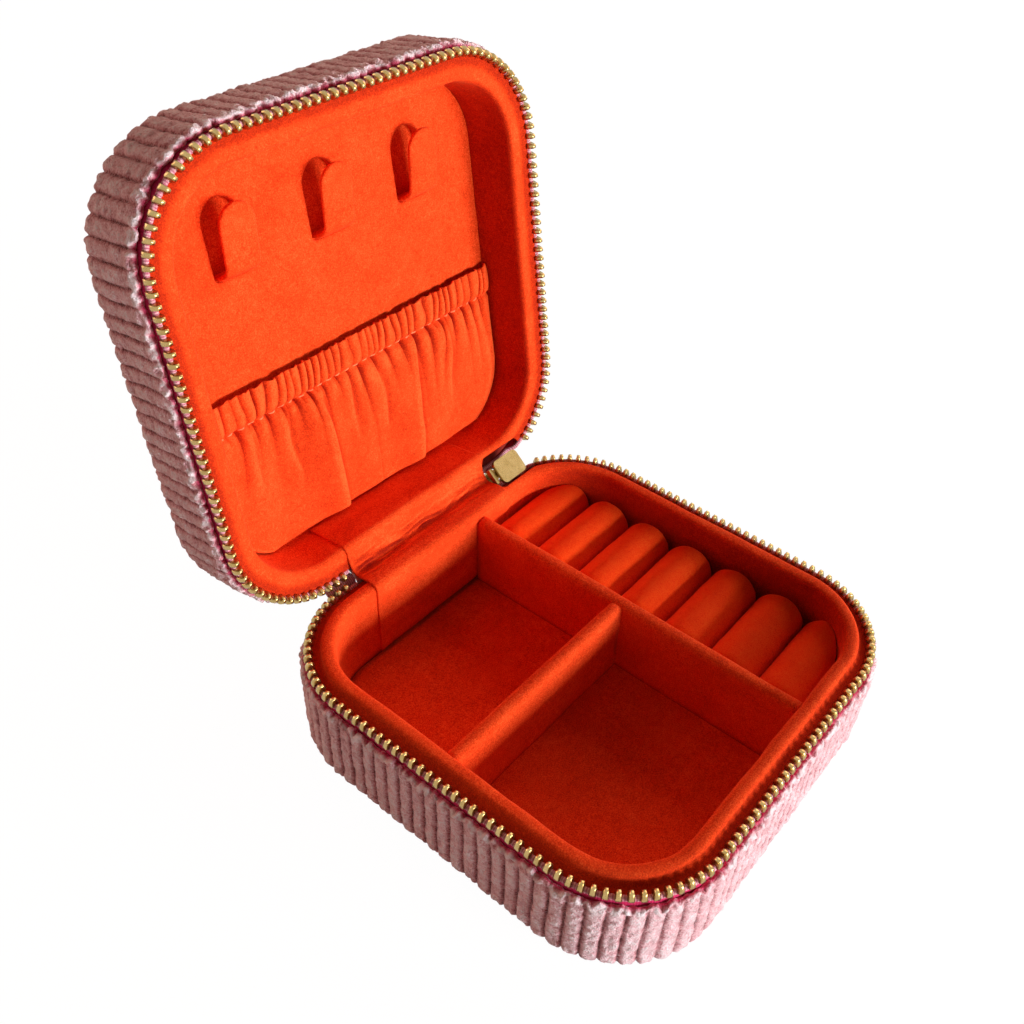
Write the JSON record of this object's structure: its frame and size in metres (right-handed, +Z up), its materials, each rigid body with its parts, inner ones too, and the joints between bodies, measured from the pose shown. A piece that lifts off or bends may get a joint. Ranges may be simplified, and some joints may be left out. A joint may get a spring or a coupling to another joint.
{
  "type": "jewelry box",
  "caption": "Square zip-round travel jewelry case with rounded corners, a hinged lid with necklace hooks and a gathered pocket, and a base with divided compartments and ring rolls.",
  "frame": {"origin": "centre of the flat underside, on the surface the case stands on", "axes": "+Z up, +X to the right along the hinge seen from the front, +Y back towards the hinge"},
  "size_m": [0.1004, 0.1322, 0.1216],
  "materials": {
    "cover_corduroy": "ribbed pile",
    "lining_velvet": "short pile",
    "stiff_board": "matte",
    "foam": "matte",
    "zip_tape": "woven",
    "zip_metal": "polished",
    "elastic": "woven"
  },
  "bodies": {
    "base": {"base_shell": "stiff_board", "base_side_cover": "cover_corduroy", "base_bottom_cover": "cover_corduroy", "base_inner_wall": "lining_velvet", "base_floor_pad": "lining_velvet", "long_divider": "lining_velvet", "short_divider": "lining_velvet", "ring_bed": "foam", "ring_roll_1": "lining_velvet", "ring_roll_2": "lining_velvet", "ring_roll_3": "lining_velvet", "ring_roll_4": "lining_velvet", "ring_roll_5": "lining_velvet", "ring_roll_6": "lining_velvet", "ring_roll_7": "lining_velvet", "base_zip_tape": "zip_tape", "base_zip_teeth": "zip_metal", "hinge_strip_inner": "lining_velvet", "hinge_spine_outer": "cover_corduroy"},
    "lid": {"lid_shell": "stiff_board", "lid_side_cover": "cover_corduroy", "lid_top_cover": "cover_corduroy", "lid_top_pad": "foam", "lid_inner_wall": "lining_velvet", "lid_back_lining": "lining_velvet", "lid_hook_panel": "lining_velvet", "necklace_hook_1": "lining_velvet", "necklace_hook_2": "lining_velvet", "necklace_hook_3": "lining_velvet", "pocket": "lining_velvet", "pocket_elastic": "elastic", "lid_zip_tape": "zip_tape", "lid_zip_teeth": "zip_metal"},
    "zip_end": {"zip_end_stop": "zip_metal"},
    "slider": {"zip_slider": "zip_metal"},
    "pull": {"zip_pull": "zip_metal"}
  },
  "joints": [
    {"name": "lid_hinge", "type": "hinge", "parent": "base", "child": "lid", "pos_m": [0, 0.0493, 0.024], "axis": [1, 0, 0], "range_deg": [0, 98.57], "deforming": ["hinge_strip_inner", "hinge_spine_outer"]},
    {"name": "zip_end_tilt", "type": "hinge", "parent": "base", "child": "zip_end", "pos_m": [0, 0.0493, 0.024], "axis": [1, 0, 0], "range_deg": [0, 49.3]},
    {"name": "slider_slide", "type": "slide", "parent": "zip_end", "child": "slider", "axis": [1, 0, 0], "range_m": [0, 0.003]},
    {"name": "pull_swing", "type": "hinge", "parent": "slider", "child": "pull", "pos_m": [0.0277, 0.05139, 0.02158], "axis": [0, 0.758, 0.6523], "range_deg": [-70, 70]}
  ],
  "couplings": [
    {"joint": "zip_end_tilt", "follows": "lid_hinge", "ratio": 0.5}
  ]
}
